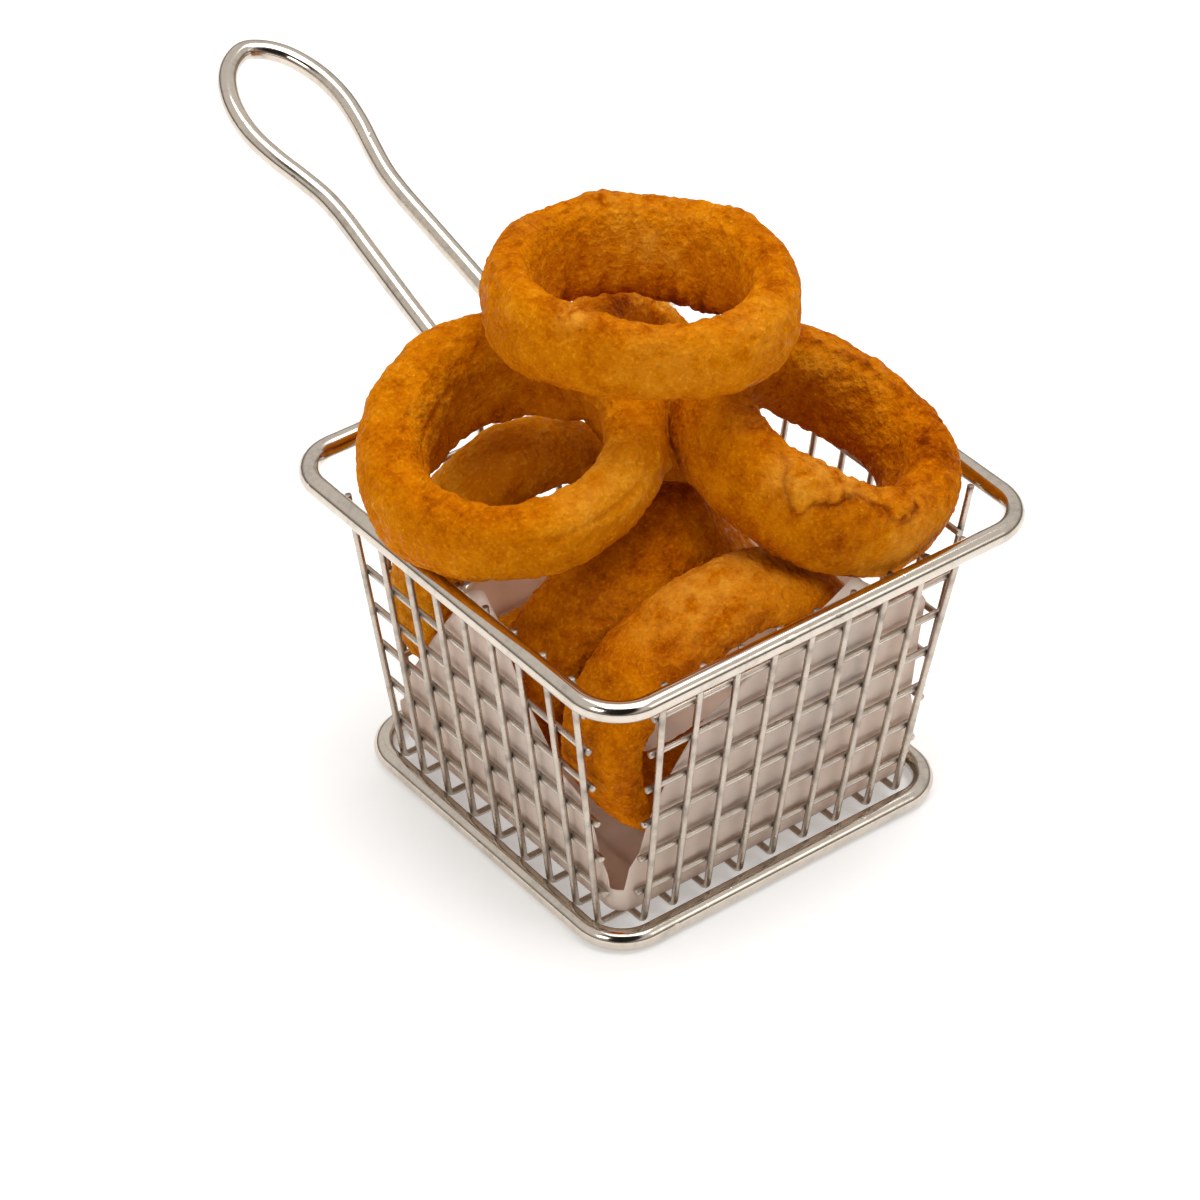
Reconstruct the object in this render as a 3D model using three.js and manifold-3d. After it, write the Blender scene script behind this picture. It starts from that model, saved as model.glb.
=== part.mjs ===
// Fried onion rings in a small square wire serving basket with a paper liner.
// Millimetres, +Z up. +Y runs from the basket towards its handle, +X to the right of a person who
// looks along +Y. The origin is the middle of the underside of the whole object's box.
import * as THREE from "three";
import { mergeVertices } from "three/addons/utils/BufferGeometryUtils.js";
import Module from "manifold-3d";

const wasm = await Module();
wasm.setup();

// ---------------------------------------------------------------- driving dimensions
const FOOT = 2.45; // height at which the wall wires bend under the basket
const GAP = 0.3; // clearance between pieces that touch on the real object

const MESH_WIRE = 1.28; // mesh wire, across its flats
const CROSSING = 1.18; // distance between the centres of two wires where they cross
const WIRES = 9; // wires side by side in each wall and in the floor
const RISE = 57.6; // height over which the leans and fans below are given
const WALL_TOP = 1.167; // the wall wires end at this many RISEs, just above the rim's inner side
const SIDES = {
  // foot: half distance between opposite walls at the bend; lean: outward over RISE;
  // pitch: wire spacing at the bend; fan: growth of the pitch over RISE; tuck: inset of the end feet
  frontBack: { foot: 36.36, lean: 8.13, pitch: 8.0, fan: 0.099, tuck: 0.35, bow: 0.9 },
  leftRight: { foot: 38.0, lean: 8.5, pitch: 8.07, fan: 0.052, tuck: 1.3, bow: 0.3 },
};
const FIRST_ROW = 8.1; // height of the lowest horizontal wire above the bends
const ROW_PITCH = 9.56;
const ROWS = 6;
const OVERHANG = 1.3; // the horizontal wires stick out past the last upright ones
const FLOOR_TOP_WIRES = 2.98; // centre height of the floor wires along Y
const FLOOR_LOW_WIRES = 1.8; // centre height of the floor wires along X

const RIM = { halfX: 50.8, halfY: 48.7, corner: 9.3, wire: 4.1, z: 68.35 };
const BASE = { halfX: 40.95, halfY: 39.4, corner: 9.0, wire: 4.2, z: 2.1 };

const HANDLE_WIRE = 4.0;
const HANDLE_RISE = 19; // degrees above the horizontal
const HANDLE_START = 2.4; // from the rim wire's centre to the end of the legs
// Half width of the loop at distances from the rim: legs, waist, bulb and rounded end.
const HANDLE_LEGS = [[HANDLE_START, 8.6], [20, 8.2], [36, 7.6], [46.5, 7.2], [52, 7.5]];
const HANDLE_BULB = [[58, 8.7], [65, 10.4], [72, 11.3], [78, 10.8], [83, 9.3], [87.3, 6.9], [90.3, 3.6]];
const HANDLE_END = 91.6;

const PAPER = 0.4;

// Onion rings. at: centre above the bends, axis: direction of the hole, radius: outer radius,
// band: thickness of the battered band seen from above, tall: its height, seed: its unevenness.
// oval, thick and swell: how much longer, thicker and taller the ring is in one direction, with
// that direction as an angle in the ring's plane.
// oval, thick and swell: how much longer, thicker and taller the ring is in one direction, with
// that direction as an angle in the ring's plane.
// oval, thick and swell: how much longer, thicker and taller the ring is in one direction, with
// that direction as an angle in the ring's plane.
const ONION_RINGS = {
  onion_ring_top: { at: [-1.51, 5.27, 107.02], axis: [0.092, 0.082, 0.992], radius: 29.44, band: 9.86, tall: 16.10, seed: 1, thick: [0.065, 0.06], swell: [0.119, 1.47] },
  onion_ring_left: { at: [-28.11, 8.60, 82.38], axis: [-0.235, -0.088, 0.968], radius: 28.75, band: 12.10, tall: 17.96, seed: 2, oval: [0.010, 1.13], thick: [0.165, 1.31], swell: [0.209, 1.80] },
  onion_ring_right: { at: [21.62, -18.94, 77.43], axis: [0.325, -0.266, 0.907], radius: 28.41, band: 11.84, tall: 18.80, seed: 3, thick: [0.053, -2.94], swell: [0.020, -2.22] },
  onion_ring_front: { at: [-10.51, -29.85, 42.02], axis: [-0.012, -0.990, -0.143], radius: 29.88, band: 10.01, tall: 17.30, seed: 4, oval: [0.084, 0.06], thick: [0.069, 0.61], swell: [0.031, -2.85] },
  onion_ring_middle: { at: [-12.41, -6.54, 43.39], axis: [0.055, -0.946, -0.318], radius: 27.85, band: 9.80, tall: 18.10, seed: 5 },
  onion_ring_back: { at: [-11.80, 26.47, 39.81], axis: [-0.089, -0.996, -0.010], radius: 28.35, band: 10.70, tall: 16.46, seed: 6 },
  onion_ring_under: { at: [17.10, 25.34, 67.80], axis: [0.579, -0.532, 0.618], radius: 21.82, band: 8.50, tall: 13.00, seed: 7 },
};
const RING_ROUNDNESS = 0.8; // 1 is an elliptic section, lower is boxier
const RING_UNEVEN = 0.5;

// ---------------------------------------------------------------- materials
const steel = (name) => new THREE.MeshStandardMaterial({ name, color: 0xbeb4a5, roughness: 0.25, metalness: 1 });
const rimSteel = steel("rim_steel");
const meshSteel = steel("mesh_steel");
const paper = new THREE.MeshStandardMaterial({ name: "liner_paper", color: 0xdcd6d0, roughness: 0.8, metalness: 0 });
const crust = (i) =>
  new THREE.MeshStandardMaterial({
    name: "crust_" + i,
    color: new THREE.Color().setHSL(0.09 + 0.003 * Math.sin(i), 0.88, 0.42),
    roughness: 0.6,
    metalness: 0,
  });

// ---------------------------------------------------------------- joining
function solidOf(geometry) {
  const bare = geometry.index ? geometry.toNonIndexed() : geometry.clone();
  bare.deleteAttribute("normal");
  bare.deleteAttribute("uv");
  const merged = mergeVertices(bare, 1e-4);
  const solid = new wasm.Mesh({
    numProp: 3,
    vertProperties: merged.attributes.position.array,
    triVerts: new Uint32Array(merged.index.array),
  });
  return new wasm.Manifold(solid);
}

function geometryOf(solid) {
  const mesh = solid.getMesh();
  const geometry = new THREE.BufferGeometry();
  geometry.setAttribute("position", new THREE.BufferAttribute(mesh.vertProperties, mesh.numProp));
  geometry.setIndex(new THREE.BufferAttribute(mesh.triVerts, 1));
  geometry.computeVertexNormals();
  return geometry;
}

const joined = (geometries) => geometryOf(geometries.map(solidOf).reduce((a, b) => a.add(b)));

// ---------------------------------------------------------------- wires
// Straight six-sided wire between two points with two of its flats square to `facing`; bow(t) moves
// its cross sections, t going from 0 at the first point to 1 at the second.
function wire(from, to, facing, bow = null) {
  const axis = to.clone().sub(from);
  const length = axis.length();
  const y = axis.normalize();
  const x = facing.clone().addScaledVector(y, -facing.dot(y)).normalize();
  const corner = MESH_WIRE / Math.sqrt(3);
  const geometry = new THREE.CylinderGeometry(corner, corner, length, 6, bow ? 5 : 1);
  if (bow) {
    const p = geometry.attributes.position;
    const lift = geometry.attributes.position.clone();
    geometry.applyMatrix4(new THREE.Matrix4().makeBasis(x, y, x.clone().cross(y)));
    for (let i = 0; i < p.count; i++) {
      const shift = bow(THREE.MathUtils.clamp(lift.getY(i) / length + 0.5, 0, 1));
      p.setXYZ(i, p.getX(i) + shift.x, p.getY(i) + shift.y, p.getZ(i) + shift.z);
    }
  } else {
    geometry.applyMatrix4(new THREE.Matrix4().makeBasis(x, y, x.clone().cross(y)));
  }
  return geometry.translate((from.x + to.x) / 2, (from.y + to.y) / 2, (from.z + to.z) / 2);
}

const wireOffset = (i) => i - (WIRES - 1) / 2;

// A wall of the basket lying in its own XZ plane: X along the wall, Z up it, +Y out of the basket.
// The upright wires are outside and fan out upwards; the horizontal ones are welded inside them.
function wall({ lean, pitch, fan, tuck, bow }, bottom) {
  const slope = Math.hypot(RISE, lean) / RISE;
  const spread = (z) => pitch * (1 + (fan * z) / (RISE * slope));
  const top = WALL_TOP * RISE * slope;
  const out = new THREE.Vector3(0, 1, 0);
  const half = (WIRES - 1) / 2;
  // The two end wires sag inwards between the floor and half height and meet the floor a bit further in.
  const sag = (t) => tuck * (1 - t) ** 2 + bow * Math.sin(Math.PI * t ** 0.6);
  const pieces = [];
  for (let i = 0; i < WIRES; i++) {
    const k = wireOffset(i);
    const end = Math.abs(k) === half ? Math.sign(k) : 0;
    const from = new THREE.Vector3(k * spread(bottom), 0, bottom);
    const to = new THREE.Vector3(k * spread(top), 0, top);
    pieces.push(wire(from, to, out, end ? (t) => new THREE.Vector3(-end * sag(t), 0, 0) : null));
  }
  for (let j = 0; j < ROWS; j++) {
    const z = (FIRST_ROW + j * ROW_PITCH) * slope;
    const reach = half * spread(z) + OVERHANG;
    pieces.push(wire(new THREE.Vector3(-reach, -CROSSING, z), new THREE.Vector3(reach, -CROSSING, z), out));
  }
  return joined(pieces);
}

// Stands a wall geometry on its bend line and leans it outwards; `turn` picks the side of the basket.
function placeWall(name, geometry, side, turn) {
  const mesh = new THREE.Mesh(geometry, meshSteel);
  mesh.name = name;
  mesh.position.set(0, side.foot, FOOT);
  mesh.rotation.x = -Math.atan2(side.lean, RISE);
  const around = new THREE.Group();
  around.rotation.z = turn;
  return around.add(mesh);
}

function floorMesh() {
  const { frontBack: fb, leftRight: lr } = SIDES;
  const up = new THREE.Vector3(0, 0, 1);
  const endY = fb.foot - MESH_WIRE / 2 - GAP - 0.1;
  const endX = lr.foot - MESH_WIRE / 2 - GAP - 0.1;
  const half = (WIRES - 1) / 2;
  const pieces = [];
  for (let i = 0; i < WIRES; i++) {
    const k = wireOffset(i);
    const x = k * fb.pitch - (Math.abs(k) === half ? Math.sign(k) * fb.tuck : 0);
    const y = k * lr.pitch - (Math.abs(k) === half ? Math.sign(k) * lr.tuck : 0);
    pieces.push(wire(new THREE.Vector3(x, -endY, FLOOR_TOP_WIRES), new THREE.Vector3(x, endY, FLOOR_TOP_WIRES), up));
    pieces.push(wire(new THREE.Vector3(-endX, y, FLOOR_LOW_WIRES), new THREE.Vector3(endX, y, FLOOR_LOW_WIRES), up));
  }
  return joined(pieces);
}

// ---------------------------------------------------------------- rim and base ring
// Rounded rectangle whose parameter takes one step along each straight side and `steps` round each corner.
class RoundedRectangle extends THREE.Curve {
  constructor(halfX, halfY, corner, steps) {
    super();
    Object.assign(this, { halfX, halfY, corner, steps });
  }
  cornerPoint(c, t, target) {
    const sx = c === 0 || c === 3 ? 1 : -1;
    const sy = c < 2 ? 1 : -1;
    const a = (c + t) * (Math.PI / 2);
    const x = sx * (this.halfX - this.corner) + this.corner * Math.cos(a);
    return target.set(x, sy * (this.halfY - this.corner) + this.corner * Math.sin(a), 0);
  }
  getPoint(t, target = new THREE.Vector3()) {
    const u = (((t % 1) + 1) % 1) * 4;
    const c = Math.floor(u);
    const along = (u - c) * (this.steps + 1);
    if (along <= this.steps) return this.cornerPoint(c, along / this.steps, target);
    const next = this.cornerPoint((c + 1) % 4, 0, new THREE.Vector3());
    return this.cornerPoint(c, 1, target).lerp(next, along - this.steps);
  }
  getPointAt(u, target) {
    return this.getPoint(u, target);
  }
  // The tangent at a joint of arc and side is the one they share.
  getTangentAt(u, target = new THREE.Vector3()) {
    const d = 1e-4;
    return target.copy(this.getPoint(u + d)).sub(this.getPoint(u - d)).normalize();
  }
}

function ringWire({ halfX, halfY, corner, wire: thick }, steps, sides) {
  const path = new RoundedRectangle(halfX, halfY, corner, steps);
  return new THREE.TubeGeometry(path, 4 * (steps + 1), thick / 2, sides, true);
}

// ---------------------------------------------------------------- handle
// One wire bent into a loop with a waist and a bulb, in its own XY plane, Y away from the basket.
function handle() {
  const right = [...HANDLE_LEGS, ...HANDLE_BULB].map(([t, w]) => new THREE.Vector3(w + lopsided(t), t, 0));
  const left = [...HANDLE_LEGS, ...HANDLE_BULB].map(([t, w]) => new THREE.Vector3(-w + lopsided(t), t, 0)).reverse();
  const path = new THREE.CatmullRomCurve3([...right, new THREE.Vector3(lopsided(HANDLE_END), HANDLE_END, 0), ...left]);
  return new THREE.ExtrudeGeometry(polygon(8, HANDLE_WIRE / 2), { steps: 64, extrudePath: path });
}

// The loop is bent slightly off its centre line: half a millimetre at the legs, none in the bulb.
function lopsided(t) {
  return 0.5 * (1 - THREE.MathUtils.smoothstep(t, 45, 75));
}

function polygon(sides, radius) {
  const points = [];
  for (let i = 0; i < sides; i++) {
    const a = ((i + 0.5) / sides) * 2 * Math.PI;
    points.push(new THREE.Vector2(radius * Math.cos(a), radius * Math.sin(a)));
  }
  return new THREE.Shape(points);
}

// ---------------------------------------------------------------- paper liner
// A square sheet laid cornerwise in the basket: a floor, and a pointed flap against each wall. The
// flaps leave a V open at each corner of the basket. x runs to the right along a wall seen from
// outside, z is the height above the bends.
const FLAPS = [
  { turn: Math.PI, side: "frontBack", edge: [[-36.6, 8], [-33.4, 22], [-28.7, 35.5], [-22.9, 46.5], [-10.4, 54.5], [5.6, 63], [10.9, 67], [20.4, 58], [29.9, 53.3], [36.8, 42], [36.9, 9]] },
  { turn: Math.PI / 2, side: "leftRight", edge: [[-35.2, 9], [-24.8, 27.1], [-16.2, 40.2], [-6.3, 54], [-0.6, 62.5], [5, 66.5], [8.5, 61], [10.5, 52.6], [14.3, 43.8], [21.8, 32], [30.3, 28.5], [32.6, 26], [33.2, 9]] },
  { turn: -Math.PI / 2, side: "leftRight", edge: [[-35, 9], [-30, 24], [-14, 34], [4, 36], [20, 26], [34.8, 9]] },
  { turn: 0, side: "frontBack", edge: [[-36.6, 9], [-26, 24], [-8, 35], [8, 34], [24, 22], [36.6, 9]] },
];

function liner() {
  const inner = CROSSING + MESH_WIRE / 2 + GAP; // from the wall wires' centres to the paper's outer face
  const floorZ = FLOOR_TOP_WIRES + MESH_WIRE / 2 + GAP;
  const { frontBack: fb, leftRight: lr } = SIDES;
  const at = (side) => side.foot + (side.lean * (floorZ - FOOT)) / RISE - inner;
  const pieces = [new THREE.BoxGeometry(2 * at(lr), 2 * at(fb), PAPER).translate(0, 0, floorZ + PAPER / 2)];
  for (const { turn, side: key, edge } of FLAPS) {
    const side = SIDES[key];
    const slope = Math.hypot(RISE, side.lean) / RISE;
    const foot = (floorZ - FOOT) * slope - 0.25;
    const points = edge.map(([x, z]) => new THREE.Vector2(x, z * slope));
    const other = key === "frontBack" ? at(lr) : at(fb);
    const shape = new THREE.Shape();
    shape.moveTo(other - 0.3, foot);
    shape.lineTo(-other + 0.3, foot);
    for (const p of points) shape.lineTo(p.x, p.y);
    const flap = new THREE.ExtrudeGeometry(shape, { depth: PAPER, bevelEnabled: false });
    // Stand the sheet up: its X turns to the viewer's right as seen from outside the wall.
    flap.rotateX(Math.PI / 2).rotateZ(Math.PI).translate(0, -inner - PAPER, 0);
    flap.rotateX(-Math.atan2(side.lean, RISE)).translate(0, side.foot, FOOT).rotateZ(turn);
    pieces.push(flap);
  }
  return joined(pieces);
}

// ---------------------------------------------------------------- onion rings
const signedPower = (v, p) => Math.sign(v) * Math.abs(v) ** p;

// Slow waves round a ring, different for each seed.
function waves(theta, seed, first, last) {
  let sum = 0;
  for (let k = first; k <= last; k++) sum += Math.sin(k * theta + seed * (1.7 * k + 0.6)) / k;
  return sum;
}

// A battered band bent into a ring in its own XY plane.
function onionRing({ radius, band, tall, seed, oval = [0, 0], thick = [0, 0], swell = [0, 0] }) {
  const middle = radius - band / 2;
  const geometry = new THREE.TorusGeometry(middle, band / 2, 8, 28);
  const p = geometry.attributes.position;
  for (let i = 0; i < p.count; i++) {
    const [x, y, z] = [p.getX(i), p.getY(i), p.getZ(i)];
    const theta = Math.atan2(y, x);
    const phi = Math.atan2(z, Math.hypot(x, y) - middle);
    const longer = oval[0] * Math.cos(2 * (theta - oval[1]));
    const thicker = thick[0] * Math.cos(theta - thick[1]) + 0.1 * RING_UNEVEN * waves(theta, seed + 11, 2, 5);
    const taller = swell[0] * Math.cos(theta - swell[1]) + 0.1 * RING_UNEVEN * waves(theta, seed + 23, 2, 4);
    const centre = (middle + RING_UNEVEN * waves(theta, seed, 2, 4)) * (1 + longer);
    const half = (band / 2) * (1 + thicker);
    const high = (tall / 2) * (1 + taller);
    const rho = centre + half * signedPower(Math.cos(phi), RING_ROUNDNESS);
    const lift = high * signedPower(Math.sin(phi), RING_ROUNDNESS) + RING_UNEVEN * waves(theta, seed + 37, 2, 3);
    p.setXYZ(i, rho * Math.cos(theta), rho * Math.sin(theta), lift);
  }
  geometry.computeVertexNormals();
  return geometry;
}

// A ring's X axis is the basket's X axis laid into the ring's plane.
function placeRing(name, ring, i) {
  const mesh = new THREE.Mesh(onionRing(ring), crust(i));
  const z = new THREE.Vector3(...ring.axis).normalize();
  const x = new THREE.Vector3(1, 0, 0).addScaledVector(z, -z.x).normalize();
  mesh.name = name;
  mesh.position.set(ring.at[0], ring.at[1], ring.at[2] + FOOT);
  mesh.quaternion.setFromRotationMatrix(new THREE.Matrix4().makeBasis(x, z.clone().cross(x), z));
  return mesh;
}

// ---------------------------------------------------------------- assembly
const basket = new THREE.Group();
const add = (name, geometry, material, parent = basket) => {
  const mesh = new THREE.Mesh(geometry, material);
  mesh.name = name;
  parent.add(mesh);
  return mesh;
};
add("rim", ringWire(RIM, 5, 10), rimSteel).position.z = RIM.z;
add("base_ring", ringWire(BASE, 5, 8), rimSteel).position.z = BASE.z;
const loop = add("handle", handle(), rimSteel);
loop.position.set(0, RIM.halfY, RIM.z);
loop.rotation.x = THREE.MathUtils.degToRad(HANDLE_RISE);

const frontBack = wall(SIDES.frontBack, -0.1);
const leftRight = wall(SIDES.leftRight, -1.2);
basket.add(placeWall("wall_back", frontBack, SIDES.frontBack, 0));
basket.add(placeWall("wall_front", frontBack, SIDES.frontBack, Math.PI));
basket.add(placeWall("wall_left", leftRight, SIDES.leftRight, Math.PI / 2));
basket.add(placeWall("wall_right", leftRight, SIDES.leftRight, -Math.PI / 2));
add("floor_mesh", floorMesh(), meshSteel);
add("paper_liner", liner(), paper);

const food = new THREE.Group();
Object.entries(ONION_RINGS).forEach(([name, ring], i) => food.add(placeRing(name, ring, i)));

const group = new THREE.Group();
group.add(basket, food);
group.updateMatrixWorld(true);
const box = new THREE.Box3().setFromObject(group, true);
group.position.set(-(box.min.x + box.max.x) / 2, -(box.min.y + box.max.y) / 2, -box.min.z);

export default group;
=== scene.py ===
"""Fried onion rings in a small square wire serving basket with a paper liner."""
import math

import bmesh
import bpy
import numpy as np
from mathutils import Matrix, Vector


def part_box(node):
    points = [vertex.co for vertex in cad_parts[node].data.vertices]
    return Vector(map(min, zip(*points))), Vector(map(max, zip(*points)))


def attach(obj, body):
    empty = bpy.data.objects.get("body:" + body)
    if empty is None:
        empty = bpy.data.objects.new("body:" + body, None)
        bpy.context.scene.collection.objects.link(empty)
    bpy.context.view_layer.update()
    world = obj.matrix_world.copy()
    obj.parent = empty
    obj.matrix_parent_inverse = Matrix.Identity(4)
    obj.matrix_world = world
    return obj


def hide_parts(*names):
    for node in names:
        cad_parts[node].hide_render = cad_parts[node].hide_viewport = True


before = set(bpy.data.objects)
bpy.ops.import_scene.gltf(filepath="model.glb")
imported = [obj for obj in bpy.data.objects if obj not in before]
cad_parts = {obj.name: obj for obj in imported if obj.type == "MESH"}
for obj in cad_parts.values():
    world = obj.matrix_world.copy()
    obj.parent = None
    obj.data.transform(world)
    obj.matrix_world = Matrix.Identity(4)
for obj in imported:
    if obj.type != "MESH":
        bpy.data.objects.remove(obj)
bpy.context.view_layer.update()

# ---------------------------------------------------------------- driving dimensions, millimetres
# Basket coordinates: x and y from the middle of the basket, z from the bends of the wall wires.
FOOT = 2.45  # height of the bends above the table
WIRE = 1.38
CROSSING = 1.18  # distance between the centres of two wires where they cross
WIRES = 9  # wires side by side in each wall
RISE = 57.6  # height over which the leans and fans below are given
WALL_TOP = 1.142  # the upright wires end at this many RISEs
# foot: half distance between opposite walls at the bend; lean: outward over RISE; pitch: wire spacing at
# the bend; fan: growth of the pitch over RISE; tuck and bow: inset of the end wires at their foot and half
# way up; floor: height of the wires under the food.
FRONT_BACK = dict(foot=36.36, lean=8.13, pitch=8.0, fan=0.099, tuck=0.35, bow=0.9, floor=0.53)
LEFT_RIGHT = dict(foot=38.0, lean=8.5, pitch=8.07, fan=0.052, tuck=1.3, bow=0.3, floor=-0.65)
FIRST_ROW, ROW_PITCH, ROWS = 8.1, 9.56, 6
OVERHANG = 0.9  # the horizontal wires stick out past the last upright ones
BEND = 1.4
UPRIGHT_STATIONS, BEND_STATIONS, ROW_STATIONS = 70, 7, 110
MESH_DOME = 0.0001  # height of the rounded ends of the mesh wires, in metres
# The dark marks at the welds are partly scorch and partly painted contact shade where the wires cross.
SCORCH_AND_SHADE_REACH = 0.0011  # reach of the dark marks at the welds, in metres

RIM = dict(half_x=50.8, half_y=48.7, corner=9.3, wire=4.1, z=65.9)
BASE = dict(half_x=40.95, half_y=39.4, corner=9.0, wire=4.2, z=-0.35)

HANDLE_WIRE = 4.0
HANDLE_RISE = math.radians(19)
# Distances from the rim and half widths of the loop: legs, waist, bulb and rounded end.
HANDLE = [(0.6, 8.65), (20, 8.2), (36, 7.6), (46.5, 7.2), (52, 7.5), (58, 8.7), (65, 10.4), (72, 11.3),
          (78, 10.8), (83, 9.3), (87.3, 6.9), (90.3, 3.6)]
HANDLE_END = 91.6
LOPSIDED = 0.5  # how far the legs are bent off the loop's centre line
LEG_WELD = dict(at=1.6, reach=1.6, swell=0.22)  # where the legs thicken at the rim, and by what share

PAPER = 0.14
LINER_CORNER = 3.5  # radius of the liner between two walls
LINER_FOLD, FOLD_PULL = 3.0, 0.9  # height of the fold at the floor, and how far it keeps from the walls
LINER_ROWS, FLOOR_SHARE = 46, 0.3  # rows from the middle to the top edge, and the share of them on the floor
SIDE_COLUMNS, CORNER_COLUMNS = 150, 10
CORNER_TOP = 9.0  # height of the liner between two walls
CREASES = 0.5
# From the wall wires to the crust that rests on the liner, and the height where that ends.
LINER_REACH, LINER_TOP = 3.0, 63.0
# Top edge of the liner on each wall: distance to the right seen from outside, height above the bends.
FLAPS = {
    "front": [(-36.6, 8), (-33.4, 22), (-28.7, 35.5), (-22.9, 46.5), (-10.4, 54.5), (5.6, 63), (10.9, 67),
              (20.4, 58), (29.9, 53.3), (36.8, 42), (36.9, 9)],
    "left": [(-35.2, 9), (-24.8, 27.1), (-16.2, 40.2), (-6.3, 54), (-0.6, 62.5), (5, 66.5), (8.5, 61),
             (10.5, 52.6), (14.3, 43.8), (21.8, 32), (30.3, 28.5), (32.6, 26), (33.2, 9)],
    "right": [(-35, 9), (-30, 24), (-14, 34), (4, 36), (20, 26), (34.8, 9)],
    "back": [(-36.6, 9), (-26, 24), (-8, 35), (8, 34), (24, 22), (36.6, 9)],
}

# at: centre of a ring, axis: direction of its hole, radius: outer radius, band: thickness of the battered
# band, tall: its height, seed: its unevenness. oval, thick and swell: how much longer, thicker and taller
# the ring is in one direction, with that direction as an angle in the ring's plane.
RINGS = {
    "top": dict(at=(-1.51, 5.27, 107.02), axis=(0.092, 0.082, 0.992), radius=29.44, band=9.86, tall=16.10,
                seed=1, thick=(0.065, 0.06), swell=(0.119, 1.47)),
    "left": dict(at=(-28.11, 8.60, 82.38), axis=(-0.235, -0.088, 0.968), radius=28.75, band=12.10, tall=17.96,
                 seed=2, oval=(0.010, 1.13), thick=(0.165, 1.31), swell=(0.209, 1.80)),
    "right": dict(at=(21.62, -18.94, 77.43), axis=(0.325, -0.266, 0.907), radius=28.41, band=11.84, tall=18.80,
                  seed=3, thick=(0.053, -2.94), swell=(0.020, -2.22)),
    "front": dict(at=(-10.51, -29.85, 42.02), axis=(-0.012, -0.990, -0.143), radius=29.88, band=10.01,
                  tall=17.30, seed=4, oval=(0.084, 0.06), thick=(0.069, 0.61), swell=(0.031, -2.85)),
    "middle": dict(at=(-12.41, -6.54, 43.39), axis=(0.055, -0.946, -0.318), radius=27.85, band=9.80,
                   tall=18.10, seed=5),
    "back": dict(at=(-11.80, 26.47, 39.81), axis=(-0.089, -0.996, -0.010), radius=28.35, band=10.70,
                 tall=16.46, seed=6),
    "under": dict(at=(17.10, 25.34, 67.80), axis=(0.579, -0.532, 0.618), radius=21.82, band=8.50,
                  tall=13.00, seed=7),
}
ROUNDNESS = 0.8  # 1 is an elliptic section, lower is boxier
UNEVEN = 0.5
AROUND, SECTION = 540, 176  # stations round a ring and round its section
# Weights of the crust's features in its relief, in millimetres, and in its tone.
RELIEF = dict(blisters=0.15, streaks=0.22, crumbs=0.42)
TONE = dict(base=0.56, drift=0.13, crest=0.13, crumbs=0.16, blisters=0.09, lumps=0.08, streaks=0.08)

# Colours of the batter from burnt brown to light gold, and its pale patches.
CRUST_TONES = [(0.0, (0.20, 0.032, 0.0003)), (0.25, (0.38, 0.080, 0.0004)), (0.5, (0.55, 0.148, 0.0006)),
               (0.75, (0.67, 0.212, 0.002)), (1.0, (0.80, 0.32, 0.015))]
CRUST_PALE = (0.78, 0.35, 0.04)
# Painted light and shade of each ring: its whole crust is made lighter or darker for how much light reaches it.
RING_PAINTED_LIGHT = {"top": 0.05, "left": 0.06, "right": -0.05, "front": -0.06, "middle": -0.15, "back": 0.26,
          "under": 0.06}
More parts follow.
